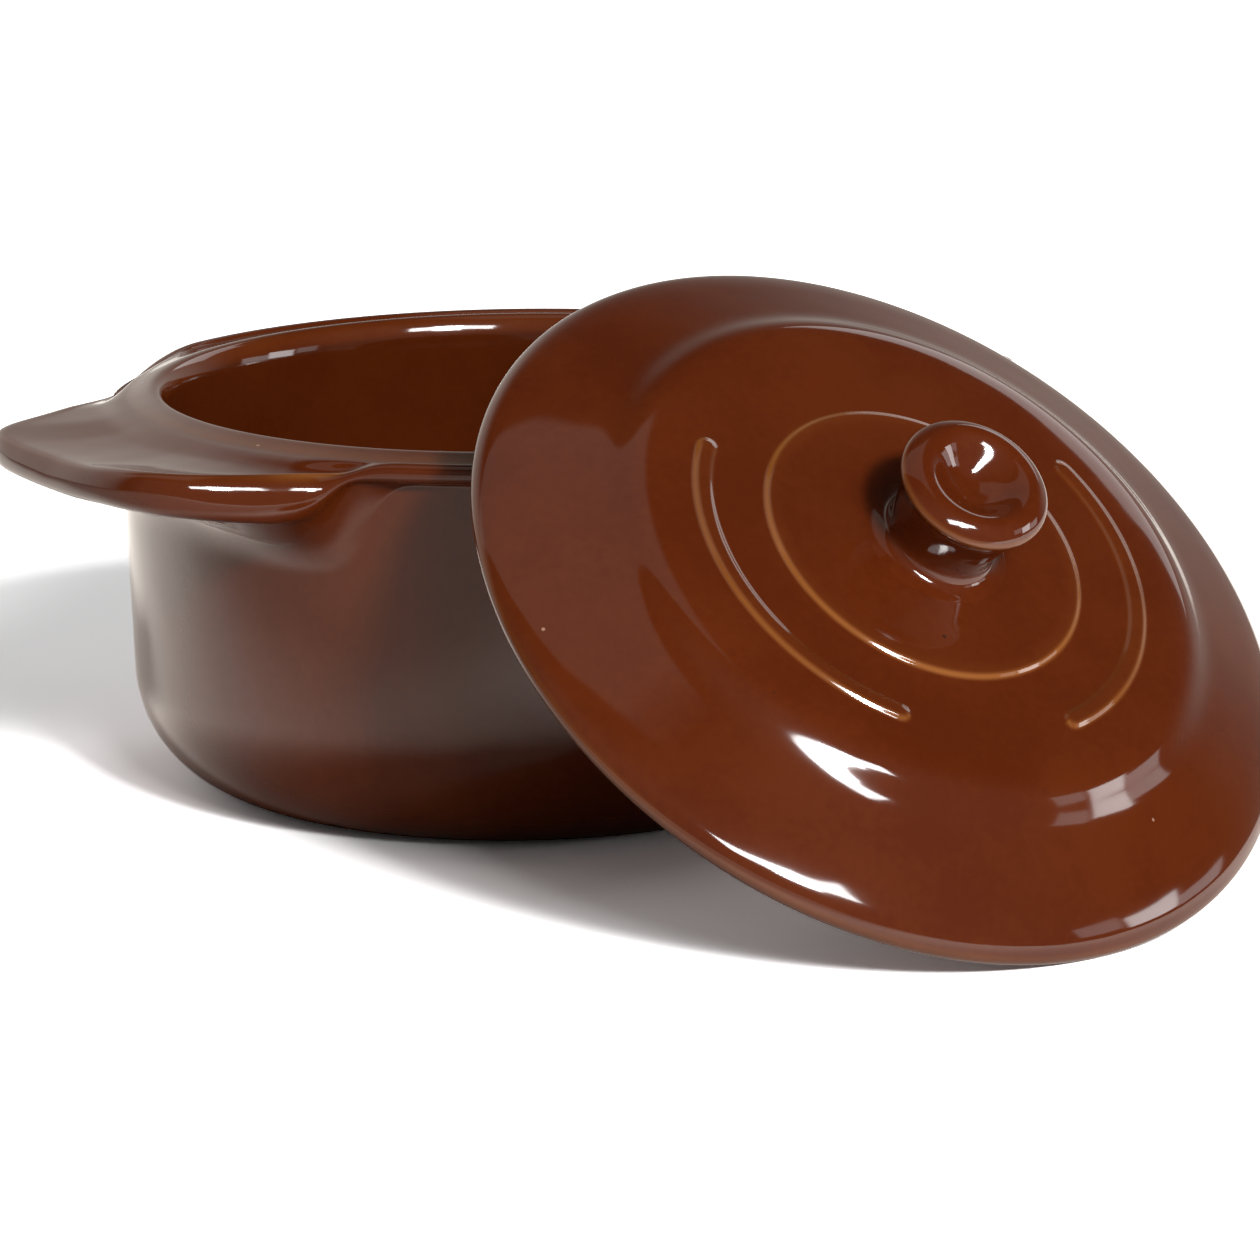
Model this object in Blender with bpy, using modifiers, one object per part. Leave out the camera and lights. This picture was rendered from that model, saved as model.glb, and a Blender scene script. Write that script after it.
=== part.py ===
"""Mini cocotte in glazed stoneware: a round pot with two ears, and its lid leaning against the rim.

Metres, +Z up. The origin is the middle of the pot's flat underside. The two handles lie on the X axis,
and the lid stands on the table in front of the pot, on the -Y side, and leans back on the rim.
"""

import math

import bpy
import numpy as np
from mathutils import Matrix

# Pot, as radii and heights above the table
RIM_RADIUS = 0.0500
POT_HEIGHT = 0.0480
BEAD_HEIGHT = 0.0025
BEAD_OVERHANG = 0.0026
WALL_THICK = 0.0058
WALL_TAPER = 0.0009
CORNER_WIDTH = 0.0143
CORNER_HEIGHT = 0.0147
FLOOR_THICK = 0.0055
INNER_ROUND = 0.0024

# Handles
EAR_REACH = 0.0139
EAR_DROP = 0.0020
EAR_LIP = 0.0034
EAR_ROOT = 0.0075
EAR_HALF_ANGLE = 33.0

# Lid, heights above its seat
LID_RADIUS = 0.0494
LIP_HEIGHT = 0.0034
FLANGE_SHARE = 0.777
FLANGE_RISE = 0.0082
PLATEAU_SHARE = 0.668
PLATEAU_RISE = 0.0117
CROWN_RISE = 0.0130
LID_THICK = 0.0048
DISC_SHARE = 0.385
DISC_STEP = 0.0005
RIB_SHARE = 0.534
RIB_WIDTH = 0.0021
RIB_RAISE = 0.0005
RIB_FROM = 22.5
RIB_TO = 121.0
RING_DEPTH = 0.0026
RING_WIDTH = 0.0026
RING_CLEARANCE = 0.0010

# Knob
KNOB_RADIUS = 0.0087
KNOB_NECK = 0.0064
KNOB_FOOT = 0.0079
KNOB_HEIGHT = 0.0108
KNOB_EDGE = 0.0010
KNOB_DISH = 0.0018
KNOB_OFF_X = 0.0007
KNOB_OFF_Y = 0.0013

# How the lid leans
LEAN = 40.1
HEADING = -81.8
SIDE_STEP = 0.0082
LID_SPIN = -14.5
GAP = 0.0003

STEPS = 56
EAR_SECTIONS = 33


def clear_scene():
    for thing in list(bpy.data.objects):
        bpy.data.objects.remove(thing)


def new_collection(name, hidden):
    made = bpy.data.collections.new(name)
    made.hide_render = hidden
    bpy.context.scene.collection.children.link(made)
    return made


def glaze(name, colour, roughness):
    made = bpy.data.materials.new(name)
    made.use_nodes = True
    shader = made.node_tree.nodes["Principled BSDF"]
    shader.inputs["Base Color"].default_value = (*colour, 1.0)
    shader.inputs["Roughness"].default_value = roughness
    return made


def mesh_object(name, points, faces, collection):
    mesh = bpy.data.meshes.new(name)
    mesh.from_pydata([tuple(map(float, p)) for p in points], [], faces)
    mesh.update()
    made = bpy.data.objects.new(name, mesh)
    collection.objects.link(made)
    return made


def smooth(thing):
    for face in thing.data.polygons:
        face.use_smooth = True


def turned(name, profile, collection, steps=STEPS):
    """A profile of (radius, height) pairs turned about Z, from axis to axis."""
    points = [(r, 0.0, z) for r, z in profile]
    mesh = bpy.data.meshes.new(name)
    mesh.from_pydata(points, [(i, i + 1) for i in range(len(points) - 1)], [])
    mesh.update()
    made = bpy.data.objects.new(name, mesh)
    collection.objects.link(made)
    screw = made.modifiers.new("turn", "SCREW")
    screw.axis = "Z"
    screw.steps = steps
    screw.render_steps = steps
    screw.use_merge_vertices = True
    screw.merge_threshold = 0.00002
    screw.use_smooth_shade = True
    return made


def boolean(target, other, operation):
    step = target.modifiers.new(operation.lower() + "_" + other.name, "BOOLEAN")
    step.operation = operation
    step.solver = "EXACT"
    step.object = other


def arc(centre_r, centre_z, radius_r, radius_z, start, end, count):
    """Points on an ellipse from one angle to another in degrees, 0 being outwards and 90 being up."""
    turn = np.radians(np.linspace(start, end, count))
    return [(centre_r + radius_r * math.cos(a), centre_z + radius_z * math.sin(a)) for a in turn]


WALL_TOP = RIM_RADIUS - BEAD_OVERHANG
WALL_LOW = WALL_TOP - WALL_TAPER
INNER_TOP = WALL_TOP - WALL_THICK
INNER_LOW = INNER_TOP - 0.8 * WALL_TAPER
BEAD_LOW = POT_HEIGHT - BEAD_HEIGHT
FLANGE_INNER = FLANGE_SHARE * LID_RADIUS
PLATEAU_RADIUS = PLATEAU_SHARE * LID_RADIUS
DISC_RADIUS = DISC_SHARE * LID_RADIUS
RIB_RADIUS = RIB_SHARE * LID_RADIUS
RING_OUT = min(INNER_TOP - RING_CLEARANCE, LID_RADIUS - 2.0 * LIP_HEIGHT)
RING_IN = RING_OUT - RING_WIDTH


def pot_outside(grow):
    """The outer profile from the ledge to the underside, pushed outwards by grow."""
    edge = 0.4 * BEAD_HEIGHT
    under = 0.28 * BEAD_HEIGHT
    fillet = 0.24 * BEAD_HEIGHT
    top = arc(RIM_RADIUS - edge, POT_HEIGHT - edge, edge + grow, edge + grow, 90, 0, 6)
    low = arc(RIM_RADIUS - under, BEAD_LOW + under, under + grow, under + grow, 0, -90, 4)
    reach = max(0.05 * fillet, fillet - grow)
    tuck = arc(WALL_TOP + fillet, BEAD_LOW - fillet, -reach, reach, 90, 0, 3)
    corner = arc(
        WALL_LOW - CORNER_WIDTH, CORNER_HEIGHT, CORNER_WIDTH + grow, CORNER_HEIGHT + grow, 0, -90, 11
    )
    return top + low + tuck + corner


def pot_profile():
    inner = INNER_ROUND
    well = CORNER_WIDTH - 0.7 * WALL_THICK
    deep = CORNER_HEIGHT - 0.7 * FLOOR_THICK
    hollow = arc(INNER_LOW - well, FLOOR_THICK + deep, well, deep, -90, 0, 9)
    rim = arc(INNER_TOP + inner, POT_HEIGHT - inner, inner, inner, 180, 90, 6)
    return [(0.0, FLOOR_THICK)] + hollow + rim + pot_outside(0.0) + [(0.0, 0.0)]


def ear_outline(angle):
    """Radius of the ear's edge at an angle in degrees from its middle, a smooth curve through shares of its reach."""
    share = np.abs(angle) / EAR_HALF_ANGLE
    at = np.array([0.0, 0.18, 0.30, 0.42, 0.49, 0.545, 0.655, 0.76, 0.86, 0.94, 1.0, 1.08, 1.15])
    out = np.array([1.0, 0.98, 0.945, 0.885, 0.80, 0.70, 0.48, 0.32, 0.17, 0.085, 0.04, -0.06, -0.24])
    fine = np.linspace(0.0, 1.15, 231)
    rough = np.interp(np.abs(np.linspace(-0.05, 1.15, 241)), at, out)
    kernel = np.hanning(21)
    even = np.convolve(np.pad(rough, (0, 10), mode="edge"), kernel / kernel.sum(), mode="valid")
    return RIM_RADIUS + EAR_REACH * np.interp(share, fine, even)


def ear_section(angle):
    """The closed outline of the ear at one angle, in (radius, height), from the top at the wall round its lip."""
    edge = float(ear_outline(angle))
    lean = min(1.0, max(0.0, (edge - RIM_RADIUS) / EAR_REACH))
    fade = (1.0 - lean) ** 2
    top = POT_HEIGHT - EAR_DROP + 0.55 * EAR_DROP * fade
    low = top - EAR_LIP + 0.25 * EAR_LIP * fade
    root = top - EAR_ROOT + 0.5 * (EAR_ROOT - EAR_LIP) * fade
    inside = WALL_TOP - 0.45 * WALL_THICK
    half = 0.5 * (top - low)
    width = min(half, 0.45 * (edge - inside))
    lip = arc(edge - width, low + half, width, half, 90, -90, 9)
    dip = 0.12 * EAR_LIP * lean
    reach = edge - width - inside
    upper = [(inside + reach * s, top - dip * math.sin(math.pi * s) ** 2) for s in np.linspace(0.0, 1.0, 8)[:-1]]
    foot = min(WALL_TOP - inside, 0.6 * reach)
    under = []
    for s in np.linspace(1.0, 0.0, 8)[1:]:
        out = foot + (reach - foot) * s
        under.append((inside + out, root + (low - root) * (1.0 - (1.0 - s) ** 2.2)))
    under.append((inside, root))
    return upper + lip + under


def ear(name, heading, collection):
    """A closed skin over the ear's sections, from one end of the ear to the other."""
    angles = 1.15 * EAR_HALF_ANGLE * np.sin(np.linspace(-0.45 * math.pi, 0.45 * math.pi, EAR_SECTIONS))
    points = []
    for angle in angles:
        turn = math.radians(heading + float(angle))
        for r, z in ear_section(float(angle)):
            points.append((r * math.cos(turn), r * math.sin(turn), z))
    count = len(points) // EAR_SECTIONS
    faces = []
    for i in range(EAR_SECTIONS - 1):
        for j in range(count):
            k = (j + 1) % count
            a, b = i * count, (i + 1) * count
            faces.append((a + j, a + k, b + k, b + j))
    faces.append(tuple(range(count - 1, -1, -1)))
    last = (EAR_SECTIONS - 1) * count
    faces.append(tuple(range(last, last + count)))
    made = mesh_object(name, points, faces, collection)
    smooth(made)
    return made


def lid_top(r):
    """Height of the lid's upper side at a radius: lip, sloping flange, riser, then the shallow crown."""
    lip_in = LID_RADIUS - 0.55 * LIP_HEIGHT
    at = [0.0, 0.5 * PLATEAU_RADIUS, PLATEAU_RADIUS, FLANGE_INNER, lip_in]
    up = [CROWN_RISE, CROWN_RISE - 0.3 * (CROWN_RISE - PLATEAU_RISE), PLATEAU_RISE, FLANGE_RISE, 1.1 * LIP_HEIGHT]
    fine = np.linspace(0.0, lip_in, 241)
    rough = np.interp(fine, at, up)
    kernel = np.hanning(19)
    padded = np.concatenate([rough[9:0:-1], rough, 2 * rough[-1] - rough[-2:-11:-1]])
    even = np.convolve(padded, kernel / kernel.sum(), mode="valid")
    return np.interp(r, fine, even)


def lid_profile():
    step = [DISC_RADIUS + 0.0005, DISC_RADIUS + 0.0002, DISC_RADIUS - 0.0002, DISC_RADIUS - 0.0006]
    radii = np.concatenate(
        [
            np.linspace(KNOB_FOOT + 0.0030, step[3] - 0.0012, 4),
            step[::-1],
            np.linspace(DISC_RADIUS + 0.0020, PLATEAU_RADIUS - 0.0030, 5),
            np.linspace(PLATEAU_RADIUS - 0.0018, FLANGE_INNER + 0.0018, 9),
            np.linspace(FLANGE_INNER + 0.0035, LID_RADIUS - 0.60 * LIP_HEIGHT, 4),
        ]
    )
    raised = np.interp(radii, [step[3], step[2], step[1], step[0]], [1.0, 0.85, 0.15, 0.0]) * DISC_STEP
    upper = list(zip(radii, lid_top(radii) + raised))
    seat = float(lid_top(0.0)) + DISC_STEP
    edge = 0.45 * LIP_HEIGHT
    lip = arc(LID_RADIUS - 0.6 * LIP_HEIGHT, 0.5 * LIP_HEIGHT, 0.6 * LIP_HEIGHT, 0.6 * LIP_HEIGHT, 62, 10, 6)
    low = arc(LID_RADIUS - edge, edge, edge, edge, 0, -90, 6)
    ring = 0.3 * RING_WIDTH
    outer = [(RING_OUT + 0.0003, 0.0), (RING_OUT, -0.0003)]
    outer += arc(RING_OUT - ring, ring - RING_DEPTH, ring, ring, 0, -90, 4)
    inner = arc(RING_IN + ring, ring - RING_DEPTH, ring, ring, -90, -180, 4)
    inside = np.linspace(RING_IN - 0.0012, 0.0, 12)
    below = [(float(r), float(lid_top(r)) - LID_THICK) for r in inside]
    return [(0.0, seat)] + upper + lip + low + outer + inner + below


def rib(name, start, end, collection):
    """A raised arc with rounded ends and a rounded top, sunk a little into the lid."""
    half = 0.5 * RIB_WIDTH
    around = np.radians(np.linspace(start, end, 28))
    floor = float(lid_top(RIB_RADIUS)) - 0.0012
    cross = [(-1.0, 0.0), (-1.0, 0.72), (-0.75, 0.95), (0.0, 1.0), (0.75, 0.95), (1.0, 0.72), (1.0, 0.0)]
    ends = np.minimum(1.0, np.sqrt(np.maximum(0.12, np.minimum(np.arange(28), np.arange(28)[::-1]) / 1.5)))
    points = []
    for turn, narrow in zip(around, ends):
        for across, up in cross:
            r = RIB_RADIUS + across * half * narrow
            z = floor + up * (float(lid_top(r)) + RIB_RAISE - floor)
            points.append((r * math.cos(turn), r * math.sin(turn), z))
    count = len(cross)
    faces = []
    for i in range(27):
        for j in range(count):
            k = (j + 1) % count
            a, b = i * count, (i + 1) * count
            faces.append((a + j, b + j, b + k, a + k))
    faces.append(tuple(range(count)))
    faces.append(tuple(range(28 * count - 1, 27 * count - 1, -1)))
    return mesh_object(name, points, faces, collection)


def knob_profile():
    edge = KNOB_EDGE
    rise = KNOB_HEIGHT
    dish = [
        (KNOB_RADIUS * s * 0.86, rise - KNOB_DISH * (0.5 + 0.5 * math.cos(math.pi * s)) - 0.1 * edge * (1.0 - s))
        for s in np.linspace(0.0, 0.92, 8)
    ]
    top = arc(KNOB_RADIUS - edge, rise - edge, edge, edge, 100, -20, 8)
    flare = [
        (KNOB_NECK + (KNOB_RADIUS - 0.6 * edge - KNOB_NECK) * s ** 1.7, 0.0016 + (rise - 2.2 * edge - 0.0016) * s)
        for s in np.linspace(0.85, 0.0, 6)
    ]
    spread = KNOB_FOOT - KNOB_NECK
    foot = [(KNOB_NECK + spread * s ** 2, 0.0016 - 0.0012 * s) for s in np.linspace(0.25, 1.0, 5)]
    return dish + top + flare + foot + [(KNOB_FOOT, 0.0), (0.0, 0.0)]


def lean_pose():
    """The lid's place: its lip on the table, and pushed back until its locating ring almost meets the rim."""
    tilt = Matrix.Rotation(math.radians(LEAN), 3, "Y")
    turn = np.array(Matrix.Rotation(math.radians(HEADING), 3, "Z") @ tilt)
    normal = turn[:, 2]
    edge = 0.45 * LIP_HEIGHT
    low = math.sin(math.radians(LEAN)) * (LID_RADIUS - edge)
    rise = low - math.cos(math.radians(LEAN)) * edge + edge
    ring = np.radians(np.arange(-180.0, 180.0, 1.0))
    rim = [(RIM_RADIUS - 0.4 * BEAD_HEIGHT, POT_HEIGHT), (RIM_RADIUS - 0.12 * BEAD_HEIGHT, POT_HEIGHT - 0.12 * BEAD_HEIGHT)]
    rim += [(RIM_RADIUS, POT_HEIGHT - 0.45 * BEAD_HEIGHT), (INNER_TOP + INNER_ROUND, POT_HEIGHT)]
    shapes = [(r + 0 * ring, ring, z) for r, z in rim]
    spread = EAR_HALF_ANGLE * np.linspace(-1.0, 1.0, 41)
    for out in (0.0, 0.5, 1.0):
        edge_r = RIM_RADIUS + out * (ear_outline(spread) - RIM_RADIUS)
        for heading in (0.0, math.pi):
            shapes.append((edge_r, heading + np.radians(spread), POT_HEIGHT - 0.5 * EAR_DROP))
    points = np.concatenate([np.stack([r * np.cos(a), r * np.sin(a), z + 0 * a], 1) for r, a, z in shapes])
    hollow = np.linspace(0.0, RING_IN - 0.0012, 12)
    ring_edges = [RING_IN - 0.0002, RING_OUT + 0.0002, RING_OUT + 0.0004, LID_RADIUS, LID_RADIUS + 0.0006]
    under_r = np.concatenate([hollow, ring_edges])
    under_z = np.concatenate([lid_top(hollow) - LID_THICK, [-RING_DEPTH, -RING_DEPTH, 0.0, 0.0, 0.5]])

    def clear(out):
        from_seat = points - np.array([SIDE_STEP, -out, rise])
        height = from_seat @ normal
        radius = np.sqrt(np.maximum(0.0, (from_seat**2).sum(1) - height**2))
        return float((np.interp(radius, under_r, under_z) - height).min())

    near, far = 0.2 * RIM_RADIUS, RIM_RADIUS + 2.5 * LID_RADIUS
    for _ in range(40):
        middle = 0.5 * (near + far)
        if clear(middle) > 1.4 * GAP:
            far = middle
        else:
            near = middle
    spot = Matrix.Translation((SIDE_STEP, -far, rise))
    spin = Matrix.Rotation(math.radians(LID_SPIN), 4, "Z")
    return spot @ Matrix.Rotation(math.radians(HEADING), 4, "Z") @ tilt.to_4x4() @ spin


clear_scene()
parts = new_collection("mini_cocotte", False)
helpers = new_collection("helpers", True)

pot = turned("pot", pot_profile(), parts)
pot.data.materials.append(glaze("pot_glaze", (0.105, 0.042, 0.020), 0.12))

shell = turned("pot_space", [(0.0, POT_HEIGHT + GAP)] + pot_outside(GAP) + [(0.0, -GAP)], helpers)
shell.display_type = "WIRE"
shell.hide_render = True

for name, heading in (("handle_left", 180.0), ("handle_right", 0.0)):
    handle = ear(name, heading, parts)
    boolean(handle, shell, "DIFFERENCE")
    handle.data.materials.append(glaze(name + "_glaze", (0.105, 0.042, 0.020), 0.12))

stand = bpy.data.objects.new("lid_pose", None)
stand.matrix_world = lean_pose()
parts.objects.link(stand)

lid = turned("lid", lid_profile(), parts)
lid.parent = stand
lid.data.materials.append(glaze("lid_glaze", (0.115, 0.046, 0.021), 0.10))
for name, start, end in (("rib_a", RIB_FROM, RIB_TO), ("rib_b", -RIB_TO, -RIB_FROM)):
    raised = rib(name, start, end, helpers)
    raised.parent = stand
    raised.display_type = "WIRE"
    raised.hide_render = True
    boolean(lid, raised, "UNION")

knob = turned("knob", knob_profile(), parts, 32)
knob.parent = stand
spin = math.radians(-LID_SPIN)
knob.location = (
    KNOB_OFF_X * math.cos(spin) - KNOB_OFF_Y * math.sin(spin),
    KNOB_OFF_X * math.sin(spin) + KNOB_OFF_Y * math.cos(spin),
    float(lid_top(0.0)) + DISC_STEP + GAP,
)
knob.data.materials.append(glaze("knob_glaze", (0.115, 0.046, 0.021), 0.10))
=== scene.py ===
"""Mini cocotte in brown glazed stoneware: the pot with its two ears, and the lid leaning on its rim."""

import math

import bpy
import numpy as np
from mathutils import Matrix, Vector


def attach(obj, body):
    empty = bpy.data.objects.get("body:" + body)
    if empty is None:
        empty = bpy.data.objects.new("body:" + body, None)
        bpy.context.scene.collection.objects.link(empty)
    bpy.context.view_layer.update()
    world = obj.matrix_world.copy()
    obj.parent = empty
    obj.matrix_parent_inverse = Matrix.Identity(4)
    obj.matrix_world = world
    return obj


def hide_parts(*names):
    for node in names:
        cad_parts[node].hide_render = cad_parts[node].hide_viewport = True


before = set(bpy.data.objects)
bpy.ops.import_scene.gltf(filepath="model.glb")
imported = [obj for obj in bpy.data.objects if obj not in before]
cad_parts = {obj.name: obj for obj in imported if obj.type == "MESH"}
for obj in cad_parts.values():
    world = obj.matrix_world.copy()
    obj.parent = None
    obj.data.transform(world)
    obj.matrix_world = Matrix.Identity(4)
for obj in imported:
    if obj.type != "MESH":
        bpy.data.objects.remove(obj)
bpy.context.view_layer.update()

# Camera. A long lens a little above the table, looking down on the pot's left ear and on the lid
# that leans in front of it. The place and the turn were fitted to the outlines of rim, foot and lid.
level_right = np.array([0.8660254, -0.5, 0.0])
level_away = np.array([0.5, 0.8660254, 0.0])
straight_up = np.array([0.0, 0.0, 1.0])
view_pitch = math.radians(13.217)
view_roll = math.radians(-0.592)
camera_place = (-0.361666, -0.652864, 0.19233)
focal_pixels = 6351.1
picture_pixels = 1260.0
look = math.cos(view_pitch) * level_away - math.sin(view_pitch) * straight_up
above = np.cross(level_right, look)
side = math.cos(view_roll) * level_right + math.sin(view_roll) * above
above = np.cross(side, look)
place = np.eye(4)
place[:3, 0] = side
place[:3, 1] = above
place[:3, 2] = -look
place[:3, 3] = camera_place
lens = bpy.data.cameras.new("camera")
lens.sensor_width = 36.0
lens.lens = focal_pixels / picture_pixels * lens.sensor_width
lens.clip_start = 0.01
lens.clip_end = 20.0
camera = bpy.data.objects.new("camera", lens)
camera.matrix_world = Matrix(place.tolist())
bpy.context.scene.collection.objects.link(camera)
bpy.context.scene.camera = camera

# Pot. A thrown stoneware body with a flat floor, a rounded lower corner, a slightly tapered wall and a
# sloping ledge with a bead round its outside. Near each ear the bead thickens, sinks and runs into it.
# Radii and heights are in millimetres, here and for the pieces below; angles from an ear are in degrees.
bead_radius = 50.0
bead_half = 1.18
ledge_start = 44.5
ledge_end_height = 47.3
lip_level = 46.1
wall_radius = 47.4
wall_top = 44.9
wall_height = 30.2
wall_taper = 0.9
plain_wall_top = 31.0


def spline(controls, at):
    """Points of a cubic B-spline: each is a blend of four neighbouring controls, the end ones counted three
    times. controls has the shape (..., count, values), and at holds the places along it, from 0 to
    count + 1."""
    count = controls.shape[-2]
    first = np.minimum(np.floor(at), count).astype(int)
    f = at - first
    before = (1 - f) ** 3
    nearest = 3 * f**3 - 6 * f**2 + 4
    following = -3 * f**3 + 3 * f**2 + 3 * f + 1
    shares = np.stack([before, nearest, following, f**3], 1) / 6.0
    near = np.clip(first[:, None] + np.arange(-2, 2), 0, count - 1)
    return np.einsum("nk,...nkc->...nc", shares, controls[..., near, :])


def oval(centre, radii, start, end, count):
    """Points on an ellipse in the section, from one angle to another in degrees, 0 outwards and 90 up."""
    turn = np.radians(np.linspace(start, end, count))
    return np.stack([centre[0] + radii[0] * np.cos(turn), centre[1] + radii[1] * np.sin(turn)], 1)


def ease(low, high, value):
    """0 on low's side, 1 on high's side, and a smooth S between; low may be the larger."""
    share = np.clip((value - low) / (high - low), 0.0, 1.0)
    return share * share * share * (share * (6.0 * share - 15.0) + 10.0)


def through(at, values, angle, soft):
    """A smooth curve through values at angles: straight runs, rounded by a running average whose weights
    fall off as a bell, soft degrees wide."""
    spacing = 0.05
    reach = 120
    fine = np.linspace(-90.0, 90.0, 3601)
    rough = np.interp(fine, at, values)
    spread = np.exp(-0.5 * (np.arange(-reach, reach + 1) * spacing / soft) ** 2)
    padded = np.pad(rough, reach, mode="edge")
    return np.interp(angle, fine, np.convolve(padded, spread / spread.sum(), mode="valid"))


def ear_shape(angle):
    """At an angle from an ear's middle: the radius of its edge and of its softer belly, the heights of its
    lip's top, lip's foot and root, the radius at which the ledge ends, and how much longer a radial cut
    through the edge is than one straight across it.
    Both ears are alike, the right one turned half way round. The end where angles are below 0, which is the
    left ear's back end, runs out slowly, and a wider and higher corner lies near the other end."""
    edge_at = [-37, -33, -27.4, -23.2, -19.5, -16, -12.6, -9.3, -5, 0, 4, 8, 12.4]
    edge_at += [16, 19.1, 21.8, 23.8, 26, 28.3, 31, 33, 34.8, 36.2, 37.4, 39, 41]
    edge_r = [50.0, 50.4, 52.8, 55.4, 58.5, 62.2, 64.6, 64.6, 64.1, 63.85, 63.9, 64.4, 65.0]
    edge_r += [65.4, 65.7, 65.3, 64.3, 62.2, 59.7, 56.6, 54.3, 52.3, 51.1, 50.4, 50.08, 50.0]
    edge_soft = 1.4
    belly_soft = 3.2
    edge = through(edge_at, edge_r, angle, edge_soft)
    belly = through(edge_at, edge_r, angle, belly_soft)
    apart = 0.2
    ahead = through(edge_at, edge_r, angle + apart, edge_soft)
    behind = through(edge_at, edge_r, angle - apart, edge_soft)
    slant = (ahead - behind) / math.radians(2.0 * apart) / edge
    top_at = [-64, -60, -55, -50, -44, -40, -36, -30, -24, -14, -6, 4, 10]
    top_at += [13, 16, 19, 21.5, 23.7, 26.4, 29.4, 32.7, 35, 37.5, 39.3, 41.5, 44]
    top_z = [47.68, 47.4, 46.7, 45.85, 45.15, 45.2, 45.55, 45.95, 46.35, 46.35, 46.05, 46.1, 46.4]
    top_z += [46.75, 47.1, 47.3, 47.35, 47.2, 46.95, 46.65, 46.35, 46.15, 46.2, 46.8, 47.45, 47.68]
    top = through(top_at, top_z, angle, 1.1)
    foot_at = [-62, -56, -52, -48, -44, -40, -36, -26, -10, 0, 8, 14, 20]
    foot_at += [24, 28, 31, 33.5, 35.5, 37, 38.5, 40]
    foot_z = [45.42, 45.0, 44.4, 43.8, 43.2, 42.9, 42.7, 42.6, 42.5, 42.3, 42.4, 42.7, 42.6]
    foot_z += [42.2, 41.5, 41.0, 41.2, 42.4, 44.2, 45.2, 45.42]
    foot = through(foot_at, foot_z, angle, 0.8)
    root_at = [-64, -60, -56, -50, -44, -36, -28, -5, 10, 20, 26, 30, 33, 35]
    root_at += [37, 39, 41, 42.5, 44, 46]
    root_z = [44.9, 44.4, 43.2, 41.0, 39.2, 38.4, 38.0, 38.0, 37.8, 37.0, 36.2, 35.8, 35.8, 36.2]
    root_z += [37.2, 38.9, 41.4, 43.3, 44.5, 44.9]
    root = through(root_at, root_z, angle, 1.2)
    ledge_at = [-60, -50, -44, -36, -20, 5, 25, 36]
    ledge_r = [47.6, 46.8, 46.4, 46.6, 46.8, 46.8, 47.2, 47.6]
    ledge = through(ledge_at, ledge_r, angle, 1.5)
    trim = 0.09 * ease(bead_radius, bead_radius + 2.0, edge)
    return edge - trim, belly - trim, top, foot, root, ledge, np.hypot(1.0, slant)


def rim_controls(angle):
    """Controls of the section outside the ledge's crest, over the bead or the ear's lip to the wall below.
    A dished run leads from the ledge to the lip, an oval goes round the lip, and a hollow run leads to the
    wall. swell is 0 on the plain bead and 1 on the ear.
    The third value of each control is the share by which the glaze is thinned there."""
    edge, belly, top, foot, root, ledge, slant = (v[:, None] for v in ear_shape(angle))
    swell = np.clip((edge - bead_radius) / 8.0, 0.0, 1.0)
    lipped = ease(-16.0, 4.0, angle)[:, None]
    front = ease(4.0, 20.0, angle)[:, None]
    dish = top - swell * (0.04 + lipped * (0.21 + 0.7 * np.maximum(top - lip_level, 0.0)))
    level_r = ledge_start + (ledge - ledge_start) * np.array([0.32, 0.61, 0.84])
    level_z = np.array([47.70, 47.50, 47.37]) + 0.0 * ledge
    turn = np.radians([89.9, 60.0, 30.0, 0.0, -30.0, -60.0, -89.9])
    tilt = np.radians(6.0 + swell * (8.0 - 2.0 * front))
    half = bead_half + swell * (0.1 + 0.3 * front)
    upright = 0.53 * (top - foot)
    nose = np.hypot(half * np.cos(tilt), upright * np.sin(tilt))
    bulge = half * np.cos(turn) ** (1.0 - 0.4 * swell)
    across = bulge * np.cos(tilt) - upright * np.sin(turn) * np.sin(tilt)
    lip_r = edge + slant * (across - nose) + (belly - edge) * np.array([0.0, 0.0, 0.0, 0.3, 0.8, 1.0, 1.0])
    lip_z = 0.5 * (top + foot) + bulge * np.sin(tilt) + upright * np.sin(turn) * np.cos(tilt)
    lip = edge - slant * nose
    reach = np.minimum(4.6, 0.62 * (lip - ledge))
    upper_r = ledge + reach * np.array([0.0, 0.22, 0.40, 0.56, 0.74, 1.0])
    upper_r = np.concatenate([upper_r, ledge + reach + 0.4 * (lip - ledge - reach)], 1)
    upper_z = dish + (ledge_end_height - dish) * np.array([1.0, 0.92, 0.72, 0.46, 0.22, 0.06, 0.0])
    rise_r = ledge + 0.85 * (lip - ledge)
    rise_z = dish + 0.5 * (top - dish)
    back = np.array([0.84, 0.66, 0.48, 0.32, 0.19, 0.095, 0.035])
    drop = np.array([0.08, 0.20, 0.34, 0.50, 0.67, 0.84, 1.0])
    under_r = wall_radius + (lip + belly - edge - wall_radius) * back
    under_z = foot - (foot - root) * drop
    wall_z = root + (plain_wall_top - root) * np.array([0.3, 0.65, 1.0])
    wall_r = wall_radius - wall_taper * (wall_top - wall_z) / wall_height
    r = np.concatenate([level_r, upper_r, rise_r, lip_r, under_r, wall_r], 1)
    z = np.concatenate([level_z, upper_z, rise_z, lip_z, under_z, wall_z], 1)
    thin_and_shade = np.zeros_like(r)
    thin_and_shade[:, : level_r.shape[1]] = 0.28
    crest = level_r.shape[1] + upper_r.shape[1] + rise_r.shape[1]
    amber = (0.3 * ease(14.0, 22.0, angle) + 0.7 * ease(27.0, 34.0, angle)) * ease(39.5, 37.0, angle)
    thin_and_shade[:, crest] = 0.9 * amber
    thin_and_shade[:, crest + 1] = 0.12 + 0.35 * amber
    return np.stack([r, z, thin_and_shade], 2)


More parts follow.
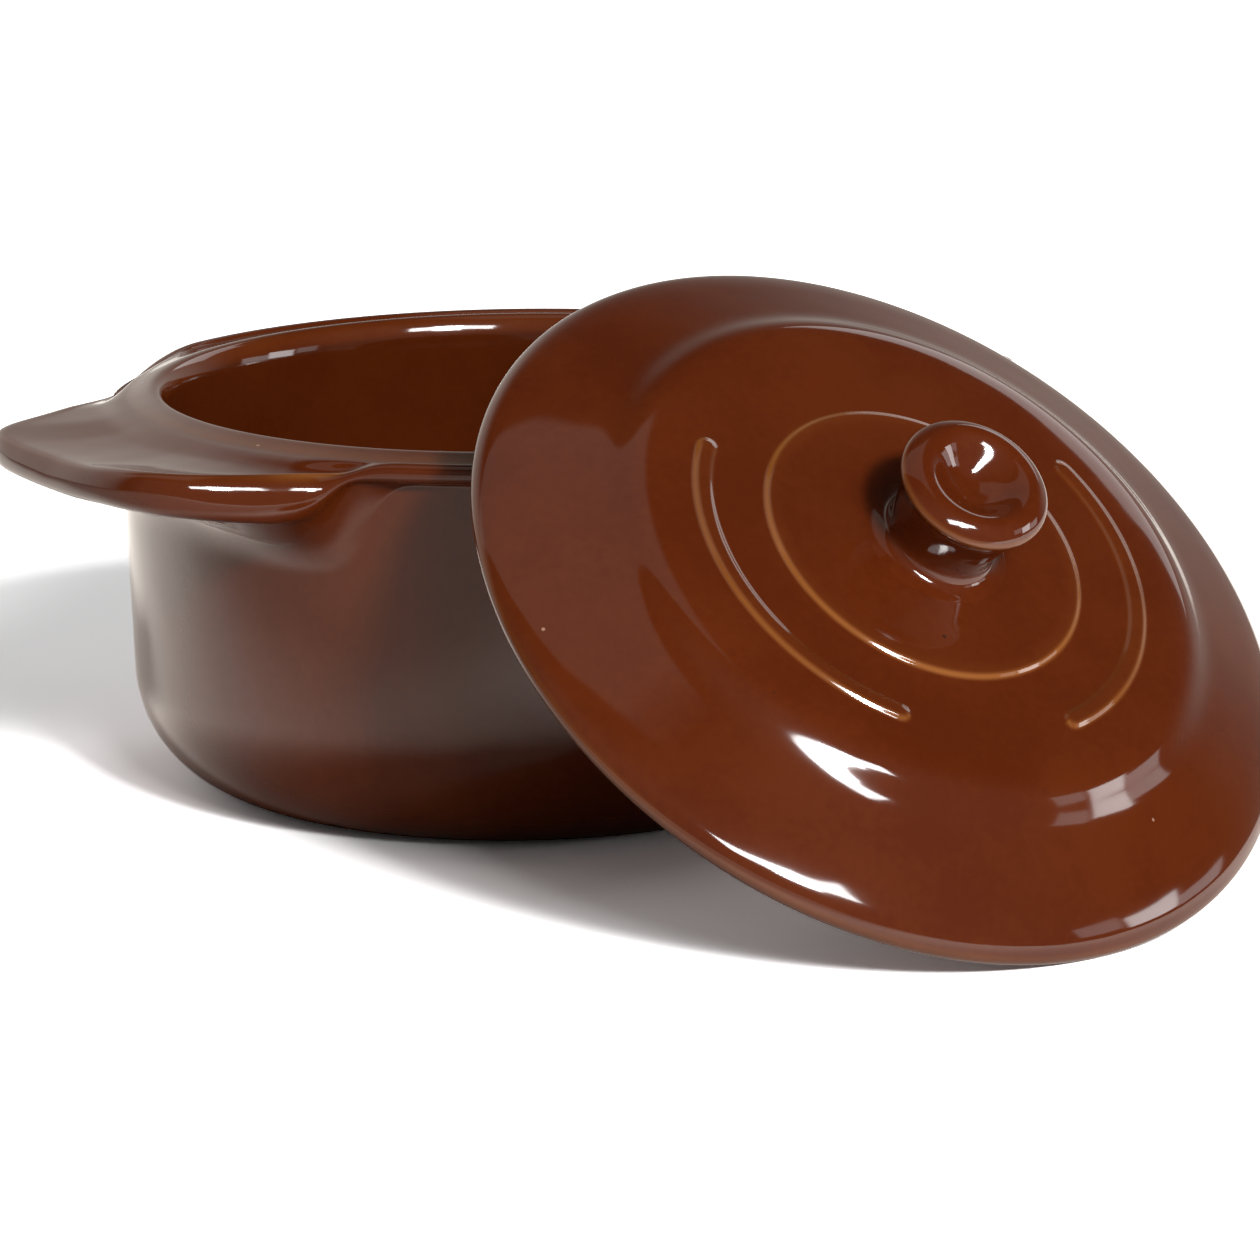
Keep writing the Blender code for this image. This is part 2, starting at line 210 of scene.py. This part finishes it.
inside = np.concatenate(
    [
        [[0.0, 5.5], [7.0, 5.5], [14.0, 5.5], [20.0, 5.5], [25.0, 5.5], [28.5, 5.5]],
        oval((30.64, 16.35), (10.24, 10.85), -90, 0, 9),
        [[40.96, 20.0], [41.1, 26.0], [41.25, 32.0], [41.38, 37.0], [41.48, 41.0], [41.58, 43.4]],
        [[41.7, 45.0], [41.83, 45.8], [41.99, 46.4], [42.22, 47.05], [42.5, 47.62]],
        [[42.9, 47.96], [43.4, 48.09], [43.9, 48.07], [ledge_start, 47.92]],
    ]
)
inner_rim = 45.8
# Third value: a little thinning of the glaze on the flare above the inner rim, and -1 below it, which marks
# painted shade that darkens the inside of the pot as if it lay in shadow.
inside = np.column_stack([inside, np.where(inside[:, 1] > inner_rim, 0.1, -1.0)])
outside = np.concatenate(
    [
        [[46.85, 26.5], [46.7, 22.0], [46.57, 18.0]],
        oval((32.2, 14.7), (14.3, 14.7), 0, -90, 12),
        [[28.5, 0.0], [22.0, 0.0], [14.0, 0.0], [7.0, 0.0], [0.0, 0.0]],
    ]
)
outside = np.column_stack([outside, np.zeros(len(outside))])
rounds = 400
around = np.linspace(0.0, 2.0 * math.pi, rounds, endpoint=False)
from_ear = (np.degrees(around) + 90.0) % 180.0 - 90.0


def pot_section(angle):
    """All controls of the pot's section at angles from the closer ear: inside, ledge, bead or ear, wall and
    foot."""
    many = len(angle)
    parts = [np.broadcast_to(inside, (many, *inside.shape)), rim_controls(angle)]
    parts.append(np.broadcast_to(outside, (many, *outside.shape)))
    return np.concatenate(parts, 1)


def surface(name, rows, thin_and_shade, poles, body, nodes):
    """A closed skin over a grid of points (row, step, xyz) in millimetres that runs round; poles close its
    ends. The thinning values hold, at each point, the share by which the glaze is thinned, or -1 where shade
    is painted in."""
    many, steps = rows.shape[:2]
    millimetre = 0.001
    points = np.concatenate([rows.reshape(-1, 3), np.asarray(poles, float).reshape(-1, 3)]) * millimetre
    ring = np.arange(many * steps).reshape(many, steps)
    after = np.roll(ring, -1, 1)
    quads = np.stack([ring[:-1], after[:-1], after[1:], ring[1:]], -1).reshape(-1, 4)
    first = np.stack([np.full(steps, many * steps), after[0], ring[0]], -1)
    last = np.stack([np.full(steps, many * steps + 1), ring[-1], after[-1]], -1)
    mesh = bpy.data.meshes.new(name)
    mesh.from_pydata(points.tolist(), [], quads.tolist() + first.tolist() + last.tolist())
    mesh.polygons.foreach_set("use_smooth", np.ones(len(mesh.polygons), bool))
    share = mesh.attributes.new("thin_and_shade", "FLOAT", "POINT")
    share.data.foreach_set("value", np.concatenate([thin_and_shade.ravel(), [0.0, 0.0]]))
    mesh.update()
    made = bpy.data.objects.new(name, mesh)
    bpy.context.scene.collection.objects.link(made)
    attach(made, body)
    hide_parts(*nodes)
    return made


def turned(section, angle):
    """Carries sections (step, place, radius and height) round the pot's axis, as rows of places."""
    r, z = section[..., 0], section[..., 1]
    turn = angle[:, None]
    return np.stack([r * np.cos(turn), r * np.sin(turn), z], 2).transpose(1, 0, 2)


controls = pot_section(from_ear)
per_control = 3
spans = controls.shape[1] + 1
along = np.linspace(0.0, spans, per_control * spans + 1)
section = spline(controls, along)
rim_start = per_control * (len(inside) + 2)
rim_end = per_control * (controls.shape[1] - len(outside))

# Under the ears the pot's skin is drawn in and sunk, so that it stays inside theirs.
tuck_low = 57.0
tuck_high = 43.0
low_share = ease(tuck_low, tuck_low + 7.0, -from_ear)
high_share = ease(tuck_high, tuck_high + 6.0, from_ear)
under_ear = 1.0 - np.where(from_ear > 0.0, high_share, low_share)[:, None]
order = np.arange(len(along))[None, :]
rim_share = ease(rim_start - 4.0, rim_start + 6.0, order) * (1.0 - ease(rim_end - 6.0, rim_end + 2.0, order))
tuck_depth = 0.12
tuck_radius = 48.7
tuck_height = 46.0
drawn_in = section[..., 0] - tuck_depth * under_ear * rim_share
limit = tuck_radius + 12.0 * (1.0 - under_ear)
over = (rim_share > 0.0) & (drawn_in > limit)
first_over = over.argmax(1)[:, None]
last_over = len(along) - 1 - over[:, ::-1].argmax(1)[:, None]
sunk = np.take_along_axis(section[..., 1], last_over, 1)
fall = (sunk - tuck_height) * (order - first_over) / np.maximum(last_over - first_over, 1)
section[..., 1] = np.where(over, tuck_height + fall, section[..., 1])
section[..., 0] = np.where(over, limit, drawn_in)
rows = turned(section, around)
# Per point: the glaze thinning, and the -1 mark of the painted shade inside the pot.
pot_thin_and_shade = section[:, 1:-1, 2].T[:, ::-1]
pot_poles = [rows[0, 0], rows[-1, 0]]
pot = surface("pot_body", rows[1:-1, ::-1], pot_thin_and_shade, pot_poles, "pot", ["pot"])


class Wire:
    """An output socket of a shader. Sums, differences and products of wires and numbers add Math nodes,
    and node() adds any other node: its type, its settings, then what feeds its sockets."""

    def __init__(self, tree, socket=None):
        self.tree = tree
        self.socket = socket

    def node(self, kind, settings, feeds, out=0):
        made = self.tree.nodes.new(kind)
        for key, value in settings.items():
            setattr(made, key, value)
        for key, value in feeds.items():
            if isinstance(value, Wire):
                self.tree.links.new(value.socket, made.inputs[key])
            else:
                made.inputs[key].default_value = value
        return Wire(self.tree, made.outputs[out])

    def math(self, operation, first, second):
        return self.node("ShaderNodeMath", {"operation": operation}, {0: first, 1: second})

    def __add__(self, other):
        return self.math("ADD", self, other)

    def __radd__(self, other):
        return self.math("ADD", other, self)

    def __sub__(self, other):
        return self.math("SUBTRACT", self, other)

    def __rsub__(self, other):
        return self.math("SUBTRACT", other, self)

    def __mul__(self, other):
        return self.math("MULTIPLY", self, other)

    def __rmul__(self, other):
        return self.math("MULTIPLY", other, self)

    def step(self, low, high):
        """0 on low's side, 1 on high's side, and a smooth S between; low may be the larger."""
        feeds = {0: self, 1: low, 2: high, 3: 0.0, 4: 1.0}
        return self.node("ShaderNodeMapRange", {"interpolation_type": "SMOOTHSTEP"}, feeds)

    def mix(self, first, second):
        """A colour between first and second, by this share."""
        return self.node("ShaderNodeMix", {"data_type": "RGBA"}, {0: self, 6: first, 7: second}, 2)


def glaze(name, deep, warm, amber):
    """Brown glaze over stoneware: clouds between two browns, amber where it is thin, painted shade that
    darkens the inside of the pot below its rim, a few pale pinholes and dark iron specks, and a skin that is
    almost flat, with slow waves."""
    made = bpy.data.materials.new(name)
    made.use_nodes = True
    tree = made.node_tree
    wire = Wire(tree)
    spot = wire.node("ShaderNodeTexCoord", {}, {}, "Object")
    cloud_feeds = {"Vector": spot, "Scale": 55.0, "Detail": 3.0, "Roughness": 0.55}
    cloud = wire.node("ShaderNodeTexNoise", {}, cloud_feeds)
    grain = wire.node("ShaderNodeTexNoise", {}, {"Vector": spot, "Scale": 900.0, "Detail": 2.0})
    wave = wire.node("ShaderNodeTexNoise", {}, {"Vector": spot, "Scale": 120.0, "Detail": 1.0})
    thin_and_shade = wire.node("ShaderNodeAttribute", {"attribute_name": "thin_and_shade"}, {}, "Fac")
    body = (0.75 * cloud + 0.25 * grain).step(0.36, 0.64).mix(deep, warm)
    edge = thin_and_shade * (0.7 + 0.6 * cloud)
    body = edge.step(0.0, 1.15).mix(body, amber)
    # Painted shade: where the mark is -1, inside the pot below its rim, the colour is darkened towards near
    # black.
    body = (0.42 * thin_and_shade.step(0.0, -1.0)).mix(body, (0.012, 0.0012, 0.0003, 1.0))
    cell = wire.node("ShaderNodeTexVoronoi", {}, {"Vector": spot, "Scale": 210.0})
    tint = wire.node("ShaderNodeTexVoronoi", {}, {"Vector": spot, "Scale": 210.0}, "Color")
    lot = tint.node("ShaderNodeSeparateColor", {}, {0: tint})
    pin = cell.step(0.06, 0.035) * lot.step(0.88, 0.9)
    iron = cell.step(0.07, 0.04) * lot.step(0.06, 0.04)
    body = (0.75 * pin).mix(body, (0.42, 0.24, 0.15, 1.0))
    body = (0.8 * iron).mix(body, (0.025, 0.008, 0.004, 1.0))
    shader = tree.nodes["Principled BSDF"]
    shader.inputs["IOR"].default_value = 1.54
    rough = 0.045 + 0.05 * cloud
    skin = wave + 0.12 * cloud - 0.5 * pin
    relief = skin.node("ShaderNodeBump", {}, {"Height": skin, "Distance": 0.00006, "Strength": 1.0})
    tree.links.new(body.socket, shader.inputs["Base Color"])
    tree.links.new(rough.socket, shader.inputs["Roughness"])
    tree.links.new(relief.socket, shader.inputs["Normal"])
    return made


pot_deep = (0.084, 0.0140, 0.0022, 1.0)
pot_warm = (0.100, 0.0185, 0.0031, 1.0)
pot_amber = (0.34, 0.125, 0.028, 1.0)
pot_glaze = glaze("pot_glaze", pot_deep, pot_warm, pot_amber)
pot.data.materials.append(pot_glaze)

# Handles. Two broad ears, alike and half a turn apart, luted to the bead and the wall before glazing: a
# thick rounded lip, a dished top that sweeps up to the ledge, and a hollow underside that sweeps down to
# the wall.
ear_low_end = -65.7
ear_high_end = 52.0
ear_proud = 0.006
ear_crease = math.radians(38.0)
ear_along = np.arange(rim_start - 5.0, rim_end + 3.0) / per_control
ear_angle = np.arange(ear_low_end, ear_high_end, 360.0 / rounds)


def ear(name, heading):
    """The ear's skin from the ledge round its lip to the wall, lifted a little along its normal, and closed
    by a plain back inside the pot's wall and by a fan at each end."""
    skin = spline(pot_section(ear_angle), ear_along)
    run = np.gradient(skin, axis=1)
    proud = ear_proud / np.hypot(run[..., 0], run[..., 1])
    skin[..., 0] -= proud * run[..., 1]
    skin[..., 1] += proud * run[..., 0]
    back = np.array([[45.2, 32.5, 0.0], [44.6, 36.0, 0.0], [44.6, 44.0, 0.0], [45.2, 47.3, 0.0]])
    loop = np.concatenate([skin, np.broadcast_to(back, (len(ear_angle), *back.shape))], 1)
    turn = math.radians(heading) + np.radians(ear_angle)
    places = turned(loop, turn).transpose(1, 0, 2)
    end_radius = 46.2
    end_height = 45.9
    ends = [[end_radius * math.cos(t), end_radius * math.sin(t), end_height] for t in (turn[0], turn[-1])]
    made = surface(name + "_ear", places, loop[..., 2], ends, "pot", [name])
    made.data.set_sharp_from_angle(angle=ear_crease)
    made.data.materials.append(pot_glaze)


ear("handle_left", 180.0)
ear("handle_right", 0.0)

# Lid. A thin domed cover pressed in one piece: a rounded lip, a sloping flange, a short riser, a shallow
# crown with a raised disc and two arc ribs, and below it a ring that keeps it in place on the pot.
lid_lean = math.radians(40.1)
lid_heading = math.radians(-81.8)
lid_turn = np.array(Matrix.Rotation(lid_heading, 3, "Z") @ Matrix.Rotation(lid_lean, 3, "Y"))
lid_seat = np.array([7.99, -67.6, 31.19])
lid_controls = np.array(
    [
        [0.0, 13.0], [6.0, 12.98], [12.0, 12.85], [18.0, 12.62], [24.0, 12.3], [28.0, 12.05], [30.5, 11.85],
        [32.4, 11.6], [33.8, 11.15], [34.9, 10.45], [35.8, 9.75], [36.8, 9.05], [38.0, 8.4], [39.6, 7.65],
        [41.5, 6.75], [43.5, 5.8], [45.3, 4.95], [46.7, 4.2], [47.8, 3.55], [48.65, 2.9], [49.2, 2.15],
        [49.42, 1.5], [49.25, 0.75], [48.7, 0.2], [47.8, 0.0], [46.0, 0.0], [43.5, 0.0], [41.4, 0.0],
        [40.75, -0.2], [40.6, -0.8], [40.6, -1.7], [40.35, -2.35], [39.7, -2.6], [38.9, -2.6], [38.2, -2.35],
        [37.95, -1.7], [37.7, -0.4], [37.3, 1.2], [36.9, 3.2], [36.2, 4.6], [35.0, 5.6], [33.4, 6.5],
        [31.0, 7.0], [26.0, 7.4], [18.0, 7.8], [9.0, 8.1], [0.0, 8.2],
    ]
)


def to_table(points):
    """Takes points from the lid's own frame, seat down, to its place leaning on the pot."""
    return points @ lid_turn.T + lid_seat


fine = np.linspace(0.0, 20.0, 4001)
top_radius = spline(lid_controls, fine)[:, 0]
wanted = np.concatenate(
    [
        np.linspace(0.6, 16.0, 16, endpoint=False),
        np.linspace(16.0, 20.6, 30, endpoint=False),
        np.linspace(20.6, 24.4, 10, endpoint=False),
        np.linspace(24.4, 28.4, 28, endpoint=False),
        np.linspace(28.4, 33.0, 11, endpoint=False),
        np.linspace(33.0, 40.0, 22, endpoint=False),
        np.linspace(40.0, 47.0, 16),
    ]
)
top_along = np.interp(wanted, top_radius, fine)
rest_along = np.linspace(top_along[-1], len(lid_controls) + 1.0, 96)[1:]
lid_along = np.concatenate([top_along, rest_along])
lid_section = spline(lid_controls, lid_along)
lid_steps = 400
lid_around = np.linspace(-math.pi, math.pi, lid_steps, endpoint=False)
rib_radius = 26.4
rib_turn = 14.5
rib_from = 24.6
rib_to = 119.0


def arc_ribs(r, angle):
    """Distance in millimetres from the middle line of the nearer arc rib, whose ends are round, and the part
    of it that goes straight outwards."""
    off = np.abs((np.degrees(angle) + rib_turn + 180.0) % 360.0 - 180.0)
    past = np.maximum(0.0, np.maximum(off - rib_to, rib_from - off))
    along_arc = np.radians(past) * rib_radius
    across = r - rib_radius
    return np.hypot(across, along_arc), across


disc_height = 0.45
rib_height = 0.40
rib_slope = 0.08
lid_r = lid_section[:, 0][:, None]
on_top = (np.arange(len(lid_along)) < len(top_along))[:, None]
disc = ease(19.6, 18.4, lid_r)
rib_far, rib_across = arc_ribs(lid_r, lid_around[None, :])
rib_band = ease(1.55, 0.35, rib_far)
rib_rise = (rib_height + rib_slope * np.clip(rib_across, -1.0, 1.0)) * rib_band
lid_z = lid_section[:, 1][:, None] + on_top * (disc_height * disc + rib_rise)
lid_rows = np.stack([lid_r * np.cos(lid_around), lid_r * np.sin(lid_around), lid_z], 2)
lid_tops = to_table(lid_rows)
lid_poles = to_table(np.array([[0.0, 0.0, 13.5], [0.0, 0.0, 8.2]]))
ring_line = 0.72 * np.exp(-(((lid_r - 19.05) / 0.32) ** 2))
ring_line = ring_line + 0.16 * ease(16.0, 18.8, lid_r) * ease(19.2, 18.9, lid_r)
rib_line = np.exp(-(((rib_far - 1.0) / 0.32) ** 2)) * np.where(rib_across > 0.0, 0.62, 0.2)
lip_line = 0.3 * np.exp(-(((lid_r - 49.3) / 0.25) ** 2))
lid_thin = on_top * (ring_line + rib_line + 0.15 * rib_band) + (1 - on_top) * lip_line
lid = surface("lid_cover", lid_tops[:-1, ::-1], lid_thin[:-1, ::-1], lid_poles, "lid", ["lid"])
lid_deep = (0.082, 0.0128, 0.0022, 1.0)
lid_warm = (0.098, 0.0172, 0.0031, 1.0)
lid_amber = (0.29, 0.098, 0.021, 1.0)
lid_glaze = glaze("lid_glaze", lid_deep, lid_warm, lid_amber)
lid.data.materials.append(lid_glaze)

# Knob. A short flared stem with a dished top and a rounded edge, luted to the middle of the lid a little
# out of true; the glaze runs down it and gathers in a soft fillet at its foot.
knob_controls = np.array(
    [
        [0.0, 22.0], [1.0, 22.05], [2.0, 22.3], [3.0, 22.8], [3.9, 23.4], [4.7, 24.0], [5.4, 24.45],
        [6.1, 24.7], [6.8, 24.65], [7.4, 24.37], [8.0, 23.95], [8.45, 23.55], [8.68, 23.22], [8.7, 22.85],
        [8.45, 22.5], [8.05, 21.95], [7.65, 21.1], [7.3, 20.0], [6.95, 18.7], [6.65, 17.5], [6.4, 16.4],
        [6.25, 15.5], [6.3, 14.8], [6.55, 14.3], [6.95, 13.95], [7.5, 13.66], [8.1, 13.48], [8.7, 13.36],
        [9.1, 13.2], [8.0, 12.8], [0.0, 12.8],
    ]
)
knob_spans = len(knob_controls) + 1
knob_section = spline(knob_controls, np.linspace(0.0, knob_spans, 4 * knob_spans + 1))
knob_steps = 160
knob_around = np.linspace(-math.pi, math.pi, knob_steps, endpoint=False)
knob_r = knob_section[:, 0][:, None]
knob_x = knob_r * np.cos(knob_around)
knob_y = knob_r * np.sin(knob_around)
knob_z = knob_section[:, 1][:, None]
dish_from = 21.0
swirl = 0.16 * np.exp(-((knob_r / 3.2) ** 2)) * (1.0 - np.exp(-((knob_r / 1.2) ** 2)))
knob_z = knob_z + (knob_z > dish_from) * swirl * np.cos(2.0 * knob_around - 1.1 * knob_r)
crooked = ease(14.5, 22.0, knob_z)
knob_tilt = 0.094
knob_z = knob_z - knob_tilt * crooked * (0.543 * knob_x - 0.84 * knob_y)
off_x = 0.6
off_y = 0.8
lean_y = 0.35
knob_rows = np.stack([off_x + knob_x, off_y + lean_y * crooked + knob_y, knob_z], 2)
knob_tops = to_table(knob_rows)
edge_from = 20.0
knob_thin = (knob_z > edge_from) * 0.45 * np.exp(-(((knob_r - 8.6) / 0.25) ** 2))
knob_poles = [knob_tops[0, 0], knob_tops[-1, 0]]
knob = surface("knob_grip", knob_tops[1:-1, ::-1], knob_thin[1:-1], knob_poles, "lid", ["knob"])
knob.data.materials.append(lid_glaze)

# Floor and light. A white table, lit by one soft box behind the viewer's right shoulder, a low window at the
# right and a dim panel at the back right, in a room with pale walls and a ceiling that is pale only at the
# left. In mirrored rays the table's colour is painted light and shade: brighter away and to the right,
# dimmer at the front, and darker still close to the pot.
floor_half = 9.0
floor_corners = [(-floor_half, -floor_half, 0.0), (floor_half, -floor_half, 0.0)]
floor_corners += [(floor_half, floor_half, 0.0), (-floor_half, floor_half, 0.0)]
floor_mesh = bpy.data.meshes.new("floor")
floor_mesh.from_pydata(floor_corners, [], [(0, 1, 2, 3)])
floor = bpy.data.objects.new("floor", floor_mesh)
bpy.context.scene.collection.objects.link(floor)


def part_along(spot, way):
    """How far a place or a direction goes along a way: the sum of the products of their three values."""
    feeds = {0: spot, 1: way.tolist()}
    return spot.node("ShaderNodeVectorMath", {"operation": "DOT_PRODUCT"}, feeds, "Value")


paper = bpy.data.materials.new("table_white")
paper.use_nodes = True
paper_shader = paper.node_tree.nodes["Principled BSDF"]
paper_shader.inputs["Roughness"].default_value = 0.9
paper_shader.inputs["Specular IOR Level"].default_value = 0.0
seen = Wire(paper.node_tree).node("ShaderNodeLightPath", {}, {}, "Is Camera Ray")
mirrored = seen.node("ShaderNodeLightPath", {}, {}, "Is Glossy Ray")
passed = seen.node("ShaderNodeLightPath", {}, {}, "Is Transmission Ray")
table_spot = seen.node("ShaderNodeTexCoord", {}, {}, "Object")
# Painted light: in mirrored rays the table is brighter away and to the right, and dimmer at the front left.
painted_light_share = part_along(table_spot, 0.6 * level_right + 0.8 * level_away).step(-0.14, -0.05)
painted_mirror_light = painted_light_share.mix((0.75, 0.70, 0.64, 1.0), (2.3, 2.15, 1.98, 1.0))
# Painted shade: in mirrored rays the table is darker within about 45 to 97 millimetres of a point just in
# front of the pot, where the pot and lid shade it.
painted_shade_middle = (0.016 * level_right - 0.034 * level_away).tolist()
painted_shade_feeds = {0: table_spot, 1: painted_shade_middle}
from_painted_shade = seen.node("ShaderNodeVectorMath", {"operation": "DISTANCE"}, painted_shade_feeds, "Value")
painted_mirror_light = from_painted_shade.step(0.045, 0.097).mix((0.2, 0.19, 0.175, 1.0), painted_mirror_light)
white = seen.math("MAXIMUM", mirrored, passed).mix((0.75, 0.75, 0.75, 1.0), painted_mirror_light)
white = seen.mix(white, (2.3, 2.3, 2.3, 1.0))
paper.node_tree.links.new(white.socket, paper_shader.inputs["Base Color"])
floor_mesh.materials.append(paper)


def lamp(name, turn, height, wide, tall, level):
    """A soft box, placed by degrees: its turn from straight away to the right and its height, its width and
    its height as seen from the object, and the brightness of its face."""
    apart = 3.5
    aimed_at = np.array([0.0, -0.025, 0.03])
    across = 2.0 * apart * math.tan(math.radians(0.5 * wide))
    upright = 2.0 * apart * math.tan(math.radians(0.5 * tall))
    light = bpy.data.lights.new(name, "AREA")
    light.shape = "RECTANGLE"
    light.size = across
    light.size_y = upright
    light.energy = level * 4.0 * across * upright
    bearing = math.radians(turn)
    flat = math.cos(math.radians(height))
    aim = flat * math.sin(bearing) * level_right + flat * math.cos(bearing) * level_away
    aim[2] += math.sin(math.radians(height))
    box = bpy.data.objects.new(name, light)
    bpy.context.scene.collection.objects.link(box)
    box.location = (aimed_at + apart * aim).tolist()
    box.rotation_euler = Vector(aim.tolist()).to_track_quat("Z", "Y").to_euler()


lamp("key_core", 154.5, 28.5, 8.0, 7.0, 110.0)
lamp("key_box", 156.0, 29.5, 27.0, 6.5, 20.0)
lamp("window_bright", 92.0, 8.0, 11.0, 9.0, 5.0)
lamp("window_dim", 80.0, 6.0, 12.0, 7.0, 1.4)
lamp("window_side", 103.0, 10.0, 8.0, 8.0, 1.0)
lamp("back_panel", 34.0, 29.0, 28.0, 22.0, 1.15)

room = bpy.data.worlds.new("room")
room.use_nodes = True
air = Wire(room.node_tree)
ray = air.node("ShaderNodeTexCoord", {}, {}, "Generated")
to_right = part_along(ray, level_right)
to_away = part_along(ray, level_away)
to_top = part_along(ray, straight_up)
ceiling = (0.42 * to_top - to_away).step(-0.01, 0.03)
ceiling = ceiling * (to_away + 0.45 * to_top + 0.56 * to_right).step(-0.01, 0.03)
ceiling = ceiling * (0.16 * to_top - to_right).step(-0.10, 0.06) * to_top.step(0.3, 0.5)
left_wall = to_right.step(0.05, -0.45) * to_away.step(-0.05, 0.35) * to_top.step(0.82, 0.55)
back_wall = to_away.step(0.25, 0.80) * to_top.step(0.78, 0.05)
behind = to_away.step(0.1, -0.6) * to_top.step(0.95, 0.6)
glow = 0.03 + 0.36 * ceiling + 0.70 * left_wall + 0.42 * back_wall + 0.14 * behind
direct = air.node("ShaderNodeLightPath", {}, {}, "Is Camera Ray")
brightness = glow.math("MAXIMUM", glow, direct)
background = room.node_tree.nodes["Background"]
room.node_tree.links.new(brightness.socket, background.inputs["Strength"])
bounced = air.node("ShaderNodeLightPath", {}, {}, "Is Glossy Ray")
shade = bounced.mix((1.0, 1.0, 1.0, 1.0), (1.0, 0.93, 0.85, 1.0))
room.node_tree.links.new(shade.socket, background.inputs["Color"])
bpy.context.scene.world = room
bpy.context.scene.view_settings.view_transform = "Standard"
